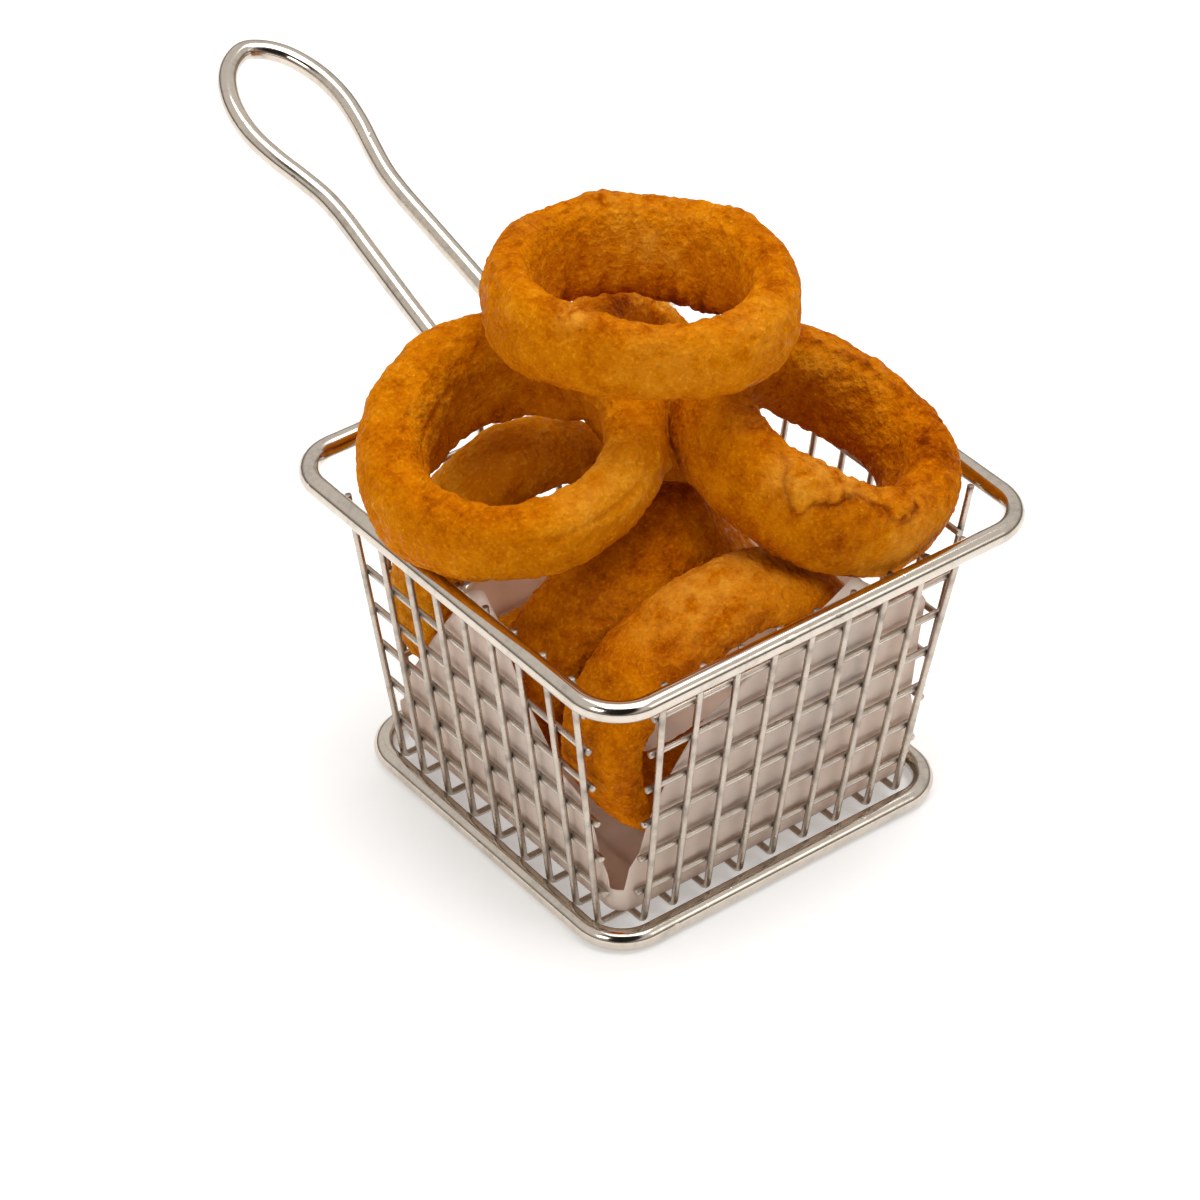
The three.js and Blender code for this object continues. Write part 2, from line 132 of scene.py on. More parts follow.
# Spots of a ring: angle round the ring, angle round its section, size and height in millimetres,
# change of tone, paleness. Most of the changes of tone are painted light and shade: lighter where an
# inner wall or crest lies in shade, darker where a ring lies deep in shadow low in the basket.
SPOTS = {
    "top": [(1.21, 1.5, 2.2, 1.1, 0.0, 0.2), (0.12, 1.15, 2.6, 1.3, 0.0, 0.1), (2.0, 1.4, 3.0, 0.7, 0.0, 0.2),
            (3.52, 1.35, 2.0, 0.5, 0.0, 0.8),
            (4.91, 1.1, 5.0, 0.0, 0.12, 0.3), (4.2, 0.2, 7.0, 0.0, 0.05, 0.2), (0.9, 2.6, 8.0, 0.0, 0.18, 0.2)],
    "left": [(5.0, 1.6, 5.5, 0.5, 0.32, 0.3), (4.6, 1.2, 4.0, 0.3, 0.2, 0.2), (2.3, 0.6, 5.0, 0.5, 0.05, 0.0),
             (2.27, 2.51, 5.0, 0.4, 0.1, 0.0), (1.9, 2.9, 8.0, 0.0, 0.16, 0.0), (5.5, 5.9, 1.0, 1.2, 0.1, 0.4)],
    "right": [(3.8, 1.5, 3.2, 1.3, 0.05, 0.5), (4.02, 1.6, 2.4, 0.7, 0.1, 0.5), (4.2, 1.7, 2.6, 0.0, 0.0, 0.3),
              (3.62, 1.0, 3.4, 0.9, 0.0, 0.5), (3.0, 1.4, 3.0, 0.6, -0.1, 0.2), (0.72, 2.2, 4.0, 0.6, 0.08, 0.1),
              (0.97, 2.4, 3.5, 0.6, 0.08, 0.2), (0.3, 2.2, 3.5, 0.6, 0.05, 0.1), (5.4, 2.3, 3.5, 0.5, -0.2, 0.0),
              (0.9, 3.1, 9.0, 0.0, 0.12, 0.0), (0.4, 3.1, 9.0, 0.0, 0.12, 0.0),
              (4.65, 0.2, 6.0, 0.0, 0.1, 0.4)],
    "front": [(1.78, 6.15, 6.0, 0.4, 0.05, 0.45), (1.35, 6.1, 6.0, 0.3, 0.1, 0.4), (2.1, 6.2, 6.0, 0.3, 0.0, 0.2),
              (2.5, 5.9, 4.0, 0.3, -0.2, 0.0), (2.29, 1.2, 5.0, 0.3, -0.2, 0.0),
              (3.1, 1.2, 9.0, 0.0, -0.05, 0.0), (3.6, 1.2, 9.0, 0.0, -0.05, 0.0)],
    "middle": [(2.2, 0.7, 6.0, 0.0, -0.05, 0.1), (1.18, 5.9, 5.0, 2.8, -0.1, 0.0), (1.3, 5.5, 5.0, 1.4, -0.1, 0.0)],
    "back": [(1.9, 0.3, 8.0, 0.0, -0.05, 0.15)],
    "under": [(0.9, 1.7, 3.0, 0.4, 0.1, 0.7), (1.4, 1.6, 3.0, 0.4, 0.0, 0.5), (2.0, 1.9, 4.0, 0.0, -0.35, 0.0)],
}
# Lips and grooves along a ring: from and to round the ring, angle round its section, half width and
# height in millimetres, change of tone.
LIPS = {
    "top": [(-0.2, 2.3, 4.15, 2.2, 1.8, -0.32), (-0.1, 0.95, 4.3, 2.4, 2.0, -0.1)],
    "left": [(0.0, 2.4, 3.95, 2.2, 1.9, -0.15), (4.1, 4.95, 2.1, 1.6, 0.7, -0.15),
             (4.1, 5.4, 0.5, 0.7, -0.5, -0.15), (1.5, 2.9, 2.75, 0.5, -0.35, -0.2),
             (1.7, 3.0, 3.3, 0.5, -0.35, -0.15)],
    "right": [(0.05, 1.2, 4.0, 2.2, 1.1, -0.1), (0.0, 1.4, 1.9, 0.7, 0.5, -0.35), (5.2, 5.9, 2.2, 1.2, 0.3, -0.25)],
    "front": [(2.2, 3.7, 3.2, 3.6, 2.8, 0.0)],
}
# Flakes that lift from a ring: corners as angles round the ring and round its section, height, tone.
FLAKES = {
    "right": [([(3.4, 1.57), (3.6, 0.9), (3.79, 0.3), (3.95, 0.9), (4.15, 1.5)], 0.7, 0.08),
              ([(4.2, 1.6), (4.35, 1.0), (4.5, 0.7), (4.62, 1.1), (4.72, 1.6)], 0.4, 0.05)],
}

# Area lights: place and size in metres, power in watts. They face LIT_POINT.
LIGHTS = {
    "overhead": ((0.1, -0.1, 1.1), 0.9, 8.3),
    "front_right": ((0.55, -1.0, 0.65), 0.4, 0.6),
    "front_left": ((-1.05, -0.35, 0.8), 0.4, 2.6),
}
LIT_POINT = (0, 0, 60)
VIEWER = (-0.46, -0.57, 0.68)  # direction of the dark patch that stands for the viewer
WORLD_STRENGTH = 0.84
TABLE_HALF, TABLE_Z, TABLE_GLOW = 3.0, -0.0002, 0.28
# Turn, rise and roll of the camera in radians, its focal length in pixels, and its place.
CAMERA = dict(azimuth=-0.67781, elevation=0.66552, roll=0.01858, focal=4683.41,
              place=(-451.183, -542.976, 593.36))
SENSOR_WIDTH, FRAME_PIXELS = 36, 1200

low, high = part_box("base_ring")
ORIGIN = np.array([(low.x + high.x) / 2, (low.y + high.y) / 2, low.z])


def metres(points):
    """Basket coordinates to the frame."""
    return (np.asarray(points, float) + [0, 0, FOOT]) * 0.001 + ORIGIN


# ---------------------------------------------------------------- mesh building
def piece(name, verts, faces, material, nodes, attributes=None):
    """A mesh piece that rides on the part and stands for the given nodes."""
    mesh = bpy.data.meshes.new(name)
    verts = np.asarray(verts, np.float32)
    faces = [np.asarray(f, np.int32) for f in faces]
    loops = np.concatenate([f.ravel() for f in faces])
    sizes = np.concatenate([np.full(len(f), f.shape[1]) for f in faces])
    mesh.vertices.add(len(verts))
    mesh.vertices.foreach_set("co", verts.ravel())
    mesh.loops.add(len(loops))
    mesh.loops.foreach_set("vertex_index", loops)
    mesh.polygons.add(len(sizes))
    starts = np.concatenate([[0], np.cumsum(sizes)[:-1]])
    mesh.polygons.foreach_set("loop_start", starts.astype(np.int32))
    mesh.polygons.foreach_set("use_smooth", np.full(len(sizes), True))
    mesh.update(calc_edges=True)
    for key, values in (attributes or {}).items():
        data = mesh.attributes.new(key, "FLOAT", "POINT").data
        data.foreach_set("value", np.asarray(values, np.float32))
    mesh.materials.append(material)
    mesh.validate()
    obj = bpy.data.objects.new(name, mesh)
    bpy.context.scene.collection.objects.link(obj)
    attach(obj, "root")
    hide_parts(*nodes)
    return obj


def unit(v):
    return v / np.linalg.norm(v, axis=-1, keepdims=True)


def sweep(path, radius, sides=14, up=(0, 0, 1), closed=False, dome=0.00035):
    """Vertices and faces of a round wire along a path; open ends are slightly domed."""
    path = np.asarray(path, float)
    radius = np.broadcast_to(np.asarray(radius, float), len(path)).copy()
    tangent = unit(np.roll(path, -1, 0) - np.roll(path, 1, 0) if closed else np.gradient(path, axis=0))
    normal = np.zeros_like(path)
    n = np.asarray(up, float)
    for i, t in enumerate(tangent):
        n = n - n.dot(t) * t
        n /= np.linalg.norm(n)
        normal[i] = n
    side = np.cross(tangent, normal)
    turn = np.arange(sides) * 2 * np.pi / sides
    if not closed:
        # Two extra rings at each end round off the cut.
        def end(i, outward):
            return [(path[i] + outward * dome * 0.6, radius[i] * 0.85),
                    (path[i] + outward * dome, radius[i] * 0.45)]
        first = [(p, r, 0) for p, r in reversed(end(0, -tangent[0]))]
        last = [(p, r, len(path) - 1) for p, r in end(len(path) - 1, tangent[-1])]
        stations = first + [(path[i], radius[i], i) for i in range(len(path))] + last
    else:
        stations = [(path[i], radius[i], i) for i in range(len(path))]
    verts = np.concatenate([p + r * (np.cos(turn)[:, None] * normal[i] + np.sin(turn)[:, None] * side[i])
                            for p, r, i in stations])
    m = len(stations)
    rows = np.arange(m if closed else m - 1)[:, None]
    cols = np.arange(sides)[None, :]
    a = rows * sides + cols
    b = rows * sides + (cols + 1) % sides
    c = ((rows + 1) % m) * sides + (cols + 1) % sides
    d = ((rows + 1) % m) * sides + cols
    quads = np.stack([a, b, c, d], -1).reshape(-1, 4)
    faces = [quads]
    if not closed:
        faces += [np.arange(sides)[::-1][None, :], (np.arange(sides) + (m - 1) * sides)[None, :]]
    return verts, faces


def gather(parts):
    """Joins several (vertices, faces) into one."""
    verts, faces, start = [], [], 0
    for v, fs in parts:
        verts.append(v)
        faces += [f + start for f in fs]
        start += len(v)
    return np.concatenate(verts), faces


# ---------------------------------------------------------------- noise
def lattice(ix, iy, iz, seed):
    h = (ix * 374761393 + iy * 668265263 + iz * 1440662683 + seed * 1274126177) & 0xFFFFFFFF
    h = ((h ^ (h >> 13)) * 1103515245) & 0xFFFFFFFF
    return ((h ^ (h >> 16)) & 0xFFFF) / 32767.5 - 1


def noise(p, size, seed):
    """Smooth noise from -1 to 1 with features of about the given size."""
    q = p / size + 1000.0
    i = np.floor(q).astype(np.int64)
    f = q - i
    f = f * f * f * (f * (f * 6 - 15) + 10)
    x, y, z = i.T
    out = 0
    for dx in (0, 1):
        for dy in (0, 1):
            for dz in (0, 1):
                w = ((f[:, 0] if dx else 1 - f[:, 0]) * (f[:, 1] if dy else 1 - f[:, 1])
                     * (f[:, 2] if dz else 1 - f[:, 2]))
                out = out + w * lattice(x + dx, y + dy, z + dz, seed)
    return out


def smoothstep(v, a, b):
    t = np.clip((v - a) / (b - a), 0, 1)
    return t * t * (3 - 2 * t)


# ---------------------------------------------------------------- materials
def nodes_of(name):
    mat = bpy.data.materials.new(name)
    mat.use_nodes = True
    tree = mat.node_tree
    tree.nodes.clear()
    out = tree.nodes.new("ShaderNodeOutputMaterial")
    shader = tree.nodes.new("ShaderNodeBsdfPrincipled")
    tree.links.new(shader.outputs["BSDF"], out.inputs["Surface"])
    return mat, tree, shader, out


def noise_node(tree, scale, detail=3.0, roughness=0.55):
    coord = tree.nodes.new("ShaderNodeTexCoord")
    tex = tree.nodes.new("ShaderNodeTexNoise")
    tex.inputs["Scale"].default_value = scale
    tex.inputs["Detail"].default_value = detail
    tex.inputs["Roughness"].default_value = roughness
    tree.links.new(coord.outputs["Object"], tex.inputs["Vector"])
    return tex


def ramp_node(tree, source, stops):
    ramp = tree.nodes.new("ShaderNodeValToRGB")
    elements = ramp.color_ramp.elements
    while len(elements) < len(stops):
        elements.new(0.5)
    for element, (at, colour) in zip(elements, stops):
        element.position = at
        element.color = (*colour, 1) if len(colour) == 3 else colour
    tree.links.new(source, ramp.inputs["Fac"])
    return ramp


def math_node(tree, operation, a, b):
    node = tree.nodes.new("ShaderNodeMath")
    node.operation = operation
    for socket, value in zip(node.inputs, (a, b)):
        if isinstance(value, (int, float)):
            socket.default_value = value
        else:
            tree.links.new(value, socket)
    return node.outputs[0]


def bump_node(tree, height, strength, distance, after=None):
    bump = tree.nodes.new("ShaderNodeBump")
    bump.inputs["Strength"].default_value = strength
    bump.inputs["Distance"].default_value = distance
    tree.links.new(height, bump.inputs["Height"])
    if after is not None:
        tree.links.new(after, bump.inputs["Normal"])
    return bump.outputs["Normal"]


def steel(name, colour, roughness, pits):
    """Bright warm steel: faint drawing marks, duller patches, small pits, welds dark with scorch and painted shade.
    """
    mat, tree, shader, _ = nodes_of(name)
    shader.inputs["Metallic"].default_value = 1
    grain = noise_node(tree, 700, 3)
    patch = noise_node(tree, 120, 3)
    mixed = math_node(tree, "ADD", math_node(tree, "MULTIPLY", grain.outputs["Fac"], 0.4),
                      math_node(tree, "MULTIPLY", patch.outputs["Fac"], 0.6))
    # Darker round each weld: scorch, and painted shade where the wires cross.
    scorch_and_shade = tree.nodes.new("ShaderNodeAttribute")
    scorch_and_shade.attribute_name = "scorch_and_shade"
    mixed = math_node(tree, "SUBTRACT", mixed, math_node(tree, "MULTIPLY", scorch_and_shade.outputs["Fac"], 0.42))
    tint = ramp_node(tree, mixed, [(0.0, [c * 0.12 for c in colour]), (0.34, [c * 0.80 for c in colour]),
                                   (0.48, colour), (0.62, [c * 1.08 for c in colour])])
    tree.links.new(tint.outputs["Color"], shader.inputs["Base Color"])
    rough = ramp_node(tree, mixed, [(0.36, [roughness * 1.6] * 3), (0.6, [roughness * 0.8] * 3)])
    tree.links.new(rough.outputs["Color"], shader.inputs["Roughness"])
    spots = noise_node(tree, pits, 1)
    hollow = ramp_node(tree, spots.outputs["Fac"], [(0.25, (0, 0, 0)), (0.31, (1, 1, 1))])
    tree.links.new(bump_node(tree, hollow.outputs["Color"], 0.25, 0.0001), shader.inputs["Normal"])
    return mat


def crust(name, painted_light):
    """Fried batter: golden sides, browner crests and crags, fine blisters, a little oil and painted glints."""
    mat, tree, shader, _ = nodes_of(name)
    tone = tree.nodes.new("ShaderNodeAttribute")
    tone.attribute_name = "tone"
    pale = tree.nodes.new("ShaderNodeAttribute")
    pale.attribute_name = "pale"
    blotch = noise_node(tree, 260, 6, 0.6)
    fine = noise_node(tree, 1300, 3, 0.6)
    specks = noise_node(tree, 700, 2, 0.5)

    def around(tex, amount):
        return math_node(tree, "MULTIPLY", math_node(tree, "SUBTRACT", tex.outputs["Fac"], 0.5), amount)

    mixed = math_node(tree, "ADD", tone.outputs["Fac"], around(blotch, 0.75))
    mixed = math_node(tree, "ADD", mixed, around(fine, 0.6))
    # The ring's painted light and shade, lighter or darker all over.
    mixed = math_node(tree, "ADD", mixed, painted_light)
    # Faint brown specks.
    dark = ramp_node(tree, specks.outputs["Fac"], [(0.28, (0.10, 0.10, 0.10)), (0.38, (0, 0, 0))])
    mixed = math_node(tree, "SUBTRACT", mixed, dark.outputs["Color"])
    # Painted glints: light flecks on the tops of the grains stand in for oil highlights.
    painted_glints = ramp_node(tree, fine.outputs["Fac"], [(0.58, (0, 0, 0)), (0.70, (0.16, 0.16, 0.16))])
    mixed = math_node(tree, "ADD", mixed, painted_glints.outputs["Color"])
    colours = ramp_node(tree, mixed, CRUST_TONES)
    light = tree.nodes.new("ShaderNodeMixRGB")
    light.inputs["Color2"].default_value = (*CRUST_PALE, 1)
    blotches = ramp_node(tree, blotch.outputs["Fac"], [(0.36, (0, 0, 0)), (0.62, (1, 1, 1))])
    amount = math_node(tree, "MULTIPLY", pale.outputs["Fac"], blotches.outputs["Color"])
    tree.links.new(amount, light.inputs["Fac"])
    tree.links.new(colours.outputs["Color"], light.inputs["Color1"])
    tree.links.new(light.outputs["Color"], shader.inputs["Base Color"])
    # Small glints of oil.
    gloss = ramp_node(tree, specks.outputs["Fac"], [(0.48, [0.9] * 3), (0.60, [0.3] * 3)])
    tree.links.new(gloss.outputs["Color"], shader.inputs["Roughness"])
    shader.inputs["Specular IOR Level"].default_value = 0.02
    shader.inputs["Specular Tint"].default_value = (1.0, 0.62, 0.22, 1)
    first = bump_node(tree, blotch.outputs["Fac"], 0.7, 0.0009)
    second = bump_node(tree, specks.outputs["Fac"], 0.9, 0.0006, first)
    tree.links.new(bump_node(tree, fine.outputs["Fac"], 1.0, 0.0004, second), shader.inputs["Normal"])
    return mat


def liner_paper():
    """Thin white greaseproof paper that lets some light and colour through, warmed by painted light from the rings.
    """
    mat, tree, shader, out = nodes_of("greaseproof_paper")
    fibre = noise_node(tree, 160, 5, 0.6)
    stain = noise_node(tree, 28, 3)
    # The warm pinkish colour is painted orange light reflected from the rings.
    tint = ramp_node(tree, math_node(tree, "ADD", math_node(tree, "MULTIPLY", fibre.outputs["Fac"], 0.4),
                                     math_node(tree, "MULTIPLY", stain.outputs["Fac"], 0.6)),
                     [(0.36, (0.87, 0.75, 0.65)), (0.6, (0.96, 0.89, 0.80))])
    tree.links.new(tint.outputs["Color"], shader.inputs["Base Color"])
    shader.inputs["Roughness"].default_value = 0.7
    shader.inputs["Specular IOR Level"].default_value = 0.25
    through = tree.nodes.new("ShaderNodeBsdfTranslucent")
    # The warm colour of the light let through is also painted light from the rings.
    through.inputs["Color"].default_value = (0.95, 0.80, 0.70, 1)
    mix = tree.nodes.new("ShaderNodeMixShader")
    mix.inputs["Fac"].default_value = 0.42
    tree.links.new(shader.outputs["BSDF"], mix.inputs[1])
    tree.links.new(through.outputs["BSDF"], mix.inputs[2])
    tree.links.new(mix.outputs["Shader"], out.inputs["Surface"])
    tree.links.new(bump_node(tree, fibre.outputs["Fac"], 0.2, 0.0003), shader.inputs["Normal"])
    return mat


# ---------------------------------------------------------------- basket wires
def wire_u(k, side, s):
    """Distance along a wall of its upright wire k at height s, in RISEs."""
    half = (WIRES - 1) / 2
    u = k * side["pitch"] * (1 + side["fan"] * s)
    if abs(k) == half:
        t = np.clip(s / WALL_TOP, 0, 1)
        u = u - np.sign(k) * (side["tuck"] * (1 - t) ** 2 + side["bow"] * np.sin(np.pi * t ** 0.6))
    return u


def bent_wire(k, side, across):
    """One wire that runs down a wall, under the food and up the opposite wall."""
    floor = side["floor"]
    s = np.linspace(WALL_TOP, (floor + BEND) / RISE, UPRIGHT_STATIONS)
    down = np.stack([side["foot"] + side["lean"] * s, s * RISE], 1)
    a = np.linspace(0, np.pi / 2, BEND_STATIONS)[1:]
    foot = side["foot"] + side["lean"] * s[-1]
    turn = np.stack([foot - BEND + BEND * np.cos(a), floor + BEND - BEND * np.sin(a)], 1)
    half = np.concatenate([down, turn])
    heights = np.concatenate([s, np.full(len(turn), max(s[-1], 0))])
    u = np.broadcast_to(wire_u(k, side, heights), len(heights))
    one = np.stack([u, half[:, 0], half[:, 1]], 1)
    other = one[::-1] * [1, -1, 1]
    path = np.concatenate([one, other])
    return path if not across else path[:, [1, 0, 2]]


def row_wires(side, across):
    """The horizontal wires of two opposite walls, inside the upright ones."""
    slope = math.hypot(RISE, side["lean"])
    out = []
    for j in range(ROWS):
        z = FIRST_ROW + j * ROW_PITCH
        reach = (WIRES - 1) / 2 * side["pitch"] * (1 + side["fan"] * z / RISE) + OVERHANG
        inset = np.array([CROSSING * RISE / slope, CROSSING * side["lean"] / slope])
        y = side["foot"] + side["lean"] * z / RISE - inset[0]
        for sign in (1, -1):
            u = np.linspace(-reach, reach, ROW_STATIONS)
            path = np.stack([u, np.full(len(u), sign * y), np.full(len(u), z + inset[1])], 1)
            out.append(path if not across else path[:, [1, 0, 2]])
    return out


def crossings(side, across):
    """Where the upright wires of two opposite walls are welded to the horizontal ones and the rim."""
    points = []
    for z in [FIRST_ROW + j * ROW_PITCH for j in range(ROWS)] + [WALL_TOP * RISE]:
        y = side["foot"] + side["lean"] * z / RISE - CROSSING / 2
        for i in range(WIRES):
            u = float(wire_u(i - (WIRES - 1) / 2, side, np.array(z / RISE)))
            points += [(u, y, z), (u, -y, z)]
    points = np.array(points)
    return points[:, [1, 0, 2]] if across else points


def mesh_wire(path, up):
    return sweep(metres(path), WIRE / 2000, up=up, dome=MESH_DOME)


def build_mesh(material):
    """The four walls and the floor, with the reach of each weld's scorch and painted shade in an attribute."""
    parts = []
    for i in range(WIRES):
        k = i - (WIRES - 1) / 2
        parts.append(mesh_wire(bent_wire(k, FRONT_BACK, False), (1, 0, 0)))
        parts.append(mesh_wire(bent_wire(k, LEFT_RIGHT, True), (0, 1, 0)))
    for side, across in ((FRONT_BACK, False), (LEFT_RIGHT, True)):
        for path in row_wires(side, across):
            parts.append(mesh_wire(path, (0, 0, 1)))
    verts, faces = gather(parts)
    welds = metres(np.concatenate([crossings(FRONT_BACK, False), crossings(LEFT_RIGHT, True)]))
    near = np.min([((verts - weld) ** 2).sum(1) for weld in welds], axis=0)
    return piece("basket_mesh", verts, faces, material,
                 ["wall_front", "wall_back", "wall_left", "wall_right", "floor_mesh"],
                 {"scorch_and_shade": np.exp(-near / SCORCH_AND_SHADE_REACH ** 2)})


def rounded_rectangle(half_x, half_y, corner, z, steps=24):
    points = []
    for c in range(4):
        sx, sy = (1, -1, -1, 1)[c], (1, 1, -1, -1)[c]
        for a in np.linspace(c, c + 1, steps + 1) * np.pi / 2:
            points.append((sx * (half_x - corner) + corner * math.cos(a),
                           sy * (half_y - corner) + corner * math.sin(a), z))
    return np.array(points)


def build_ring_wire(name, node, size, material):
    path = rounded_rectangle(size["half_x"], size["half_y"], size["corner"], size["z"])
    verts, faces = sweep(metres(path), size["wire"] / 2000, sides=40, closed=True)
    return piece(name, verts, faces, material, [node])


def spline(points, per=10):
    """Centripetal Catmull-Rom curve through the points."""
    p = np.asarray(points, float)
    p = np.concatenate([[2 * p[0] - p[1]], p, [2 * p[-1] - p[-2]]])
    out = []
    for i in range(1, len(p) - 2):
        steps = np.sqrt(np.linalg.norm(np.diff(p[i - 1:i + 3], axis=0), axis=1))
        t = np.concatenate([[0], np.cumsum(steps)])
        for x in np.linspace(t[1], t[2], per, endpoint=False):
            a = [((t[j + 1] - x) * p[i - 1 + j] + (x - t[j]) * p[i + j]) / (t[j + 1] - t[j])
                 for j in range(3)]
            b = [((t[j + 2] - x) * a[j] + (x - t[j]) * a[j + 1]) / (t[j + 2] - t[j]) for j in range(2)]
            out.append(((t[2] - x) * b[0] + (x - t[1]) * b[1]) / (t[2] - t[1]))
    out.append(p[-2])
    return np.array(out)


def lopsided(t):
    """How far the loop is off its centre line at a distance from the rim; nothing in the bulb."""
    return LOPSIDED * (1 - smoothstep(t, 45, 75))


def build_handle(material):
    right = [(w + lopsided(t), t) for t, w in HANDLE]
    left = [(-w + lopsided(t), t) for t, w in reversed(HANDLE)]
    flat = spline(right + [(lopsided(HANDLE_END), HANDLE_END)] + left)
    path = np.stack([flat[:, 0], RIM["half_y"] + flat[:, 1] * math.cos(HANDLE_RISE),
                     RIM["z"] + flat[:, 1] * math.sin(HANDLE_RISE)], 1)
    weld = 1 + LEG_WELD["swell"] * np.exp(-((flat[:, 1] - LEG_WELD["at"]) / LEG_WELD["reach"]) ** 2)
    verts, faces = sweep(metres(path), HANDLE_WIRE / 2000 * weld, sides=32)
    return piece("handle_wire", verts, faces, material, ["handle"])


# ---------------------------------------------------------------- paper liner
def build_liner(material):
    inner = CROSSING + WIRE / 2 + 0.3 + PAPER / 2
    floor = FRONT_BACK["floor"] + WIRE / 2 + 0.25
    corner = LINER_CORNER

    def plane(side, z):
        return side["foot"] + side["lean"] * z / RISE - inner

    # Stations round the liner: wall, distance along it (to the right from outside) and corner turn.
    walls = [("front", FRONT_BACK, LEFT_RIGHT, 0), ("right", LEFT_RIGHT, FRONT_BACK, 1),
             ("back", FRONT_BACK, LEFT_RIGHT, 2), ("left", LEFT_RIGHT, FRONT_BACK, 3)]
    rows = np.linspace(0, 1, LINER_ROWS)
    columns = []
    for name, side, other, quarter in walls:
        edge = np.array(FLAPS[name], float)
        length = plane(other, 5) - corner
        for u in np.linspace(-length, length, SIDE_COLUMNS, endpoint=False):
            columns.append((quarter, side, other, u, 0.0, np.interp(u, edge[:, 0], edge[:, 1])))
        for a in np.linspace(0, 1, CORNER_COLUMNS, endpoint=False):
            columns.append((quarter, side, other, length, a, CORNER_TOP))
    heights = np.array([c[5] for c in columns])
    smooth = np.array([np.roll(heights, k) for k in range(-2, 3)]).mean(0)
    verts = []
    turns = [np.array([[1, 0], [0, 1]]), np.array([[0, -1], [1, 0]]), np.array([[-1, 0], [0, -1]]),
             np.array([[0, 1], [-1, 0]])]
    for (quarter, side, other, u, a, _), top in zip(columns, smooth):
        column = []
        for r in rows:
            # The floor, from the middle outwards; then the fold and the wall.
            if r < FLOOR_SHARE:
                w, z, pull = r / FLOOR_SHARE, floor, 0
            else:
                w, z = 1.0, floor + (top - floor) * ((r - FLOOR_SHARE) / (1 - FLOOR_SHARE)) ** 1.3
                pull = FOLD_PULL * max(0.0, 1 - (z - floor) / LINER_FOLD) ** 2
            d = plane(side, max(z, floor)) - pull
            e = plane(other, max(z, floor)) - pull
            middle = e - corner if a > 0 else min(u, e - corner)
            x = middle + corner * math.sin(a * np.pi / 2)
            y = -(d - corner) - corner * math.cos(a * np.pi / 2)
            p = turns[quarter] @ np.array([x, y])
            column.append((p[0] * w, p[1] * w, z))
        verts.append(column)
    verts = np.array(verts)  # columns, rows, 3
    n, m = verts.shape[:2]
    flat = verts.reshape(-1, 3)
    # Soft creases, always away from the wires.
    towards = np.stack([-flat[:, 0], -flat[:, 1], np.zeros(len(flat))], 1)
    towards /= np.maximum(np.linalg.norm(towards, axis=1, keepdims=True), 1e-6)
    crease = 0.5 + 0.5 * noise(flat * [1, 1, 0.5], 14.0, 5)
    crease += 0.35 * (0.5 + 0.5 * noise(flat * [1, 1, 0.7], 5.0, 6))
    amount = CREASES * crease * smoothstep(flat[:, 2], floor + 2, floor + 25)
    flat = flat + towards * amount[:, None]
    grid = flat.reshape(n, m, 3)
    du = np.roll(grid, -1, 0) - np.roll(grid, 1, 0)
    dv = np.gradient(grid, axis=1)
    normal = np.cross(du, dv)
    length = np.linalg.norm(normal, axis=2, keepdims=True)
    normal = np.where(length > 1e-9, normal / np.maximum(length, 1e-9), [0, 0, 1])
    normal[:, 0] = [0, 0, 1]
    if normal[10, m // 2].dot([0, 1, 0]) < 0:
        normal = -normal
        normal[:, 0] = [0, 0, 1]
    inside = grid + normal * PAPER / 2
    outside = grid - normal * PAPER / 2
    both = np.concatenate([inside.reshape(-1, 3), outside.reshape(-1, 3)])
    i = np.arange(n)[:, None]
    j = np.arange(m - 1)[None, :]
    a, b, c, d = i * m + j, ((i + 1) % n) * m + j, ((i + 1) % n) * m + j + 1, i * m + j + 1
    up = np.stack([a, b, c, d], -1).reshape(-1, 4)
    down = up[:, ::-1] + n * m
    k = np.arange(n)
    top, nxt = k * m + m - 1, ((k + 1) % n) * m + m - 1
    rimmed = np.stack([top, nxt, nxt + n * m, top + n * m], -1)
    tidy(piece("liner_sheet", metres(both), [up, down, rimmed], material, ["paper_liner"]))


def tidy(obj):
    """Merges doubled vertices and turns every face outwards."""
    bm = bmesh.new()
    bm.from_mesh(obj.data)
    bmesh.ops.remove_doubles(bm, verts=bm.verts, dist=1e-6)
    bmesh.ops.recalc_face_normals(bm, faces=bm.faces)
    bm.to_mesh(obj.data)
    bm.free()


# ---------------------------------------------------------------- onion rings
def waves(theta, seed, first, last):
    """Slow waves round a ring, the same as the solid's."""
    return sum(np.sin(k * theta + seed * (1.7 * k + 0.6)) / k for k in range(first, last + 1))


def signed_power(v, p):
    return np.sign(v) * np.abs(v) ** p


def turned(a, b):
    """The turn from b to a, from minus pi to pi."""
    return (a - b + np.pi) % (2 * np.pi) - np.pi


